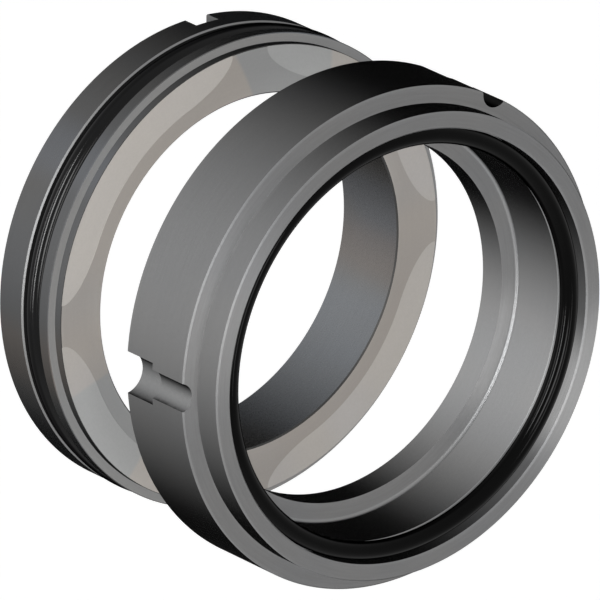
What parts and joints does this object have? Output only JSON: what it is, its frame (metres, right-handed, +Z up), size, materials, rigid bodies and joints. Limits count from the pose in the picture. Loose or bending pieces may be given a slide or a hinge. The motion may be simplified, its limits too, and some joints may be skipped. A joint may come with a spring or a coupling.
{
  "type": "mechanical seal ring pair",
  "caption": "Mechanical seal faces on one shaft axis: a stationary seat with a lobed lapped face, and a rotating ring with drive slots and a stepped bore, each carrying an O-ring.",
  "frame": {"origin": "on the shaft's axis, in the plane of the stationary seat's back face", "axes": "+Y along the shaft from the rotating ring to the seat's back face, +Z up through the seat's notch, +X to the right seen from the rotating ring's nose"},
  "size_m": [0.0999, 0.0662, 0.1],
  "materials": {
    "seat_carbide": "ground silicon carbide with a lapped face",
    "ring_carbide": "ground silicon carbide",
    "o_ring_rubber": "smooth moulded, slightly glossy"
  },
  "bodies": {
    "stationary": {"stationary_seat": "seat_carbide", "seat_o_ring": "o_ring_rubber"},
    "floating": {"ring_o_ring": "o_ring_rubber"},
    "rotating": {"rotating_ring": "ring_carbide"}
  },
  "joints": [
    {"name": "axial_travel", "type": "slide", "parent": "stationary", "child": "floating", "axis": [0, 1, 0], "range_m": [0, 0.0258]},
    {"name": "shaft_rotation", "type": "hinge", "parent": "floating", "child": "rotating", "pos_m": [0, -0.0545, 0], "axis": [0, 1, 0], "continuous": true}
  ]
}
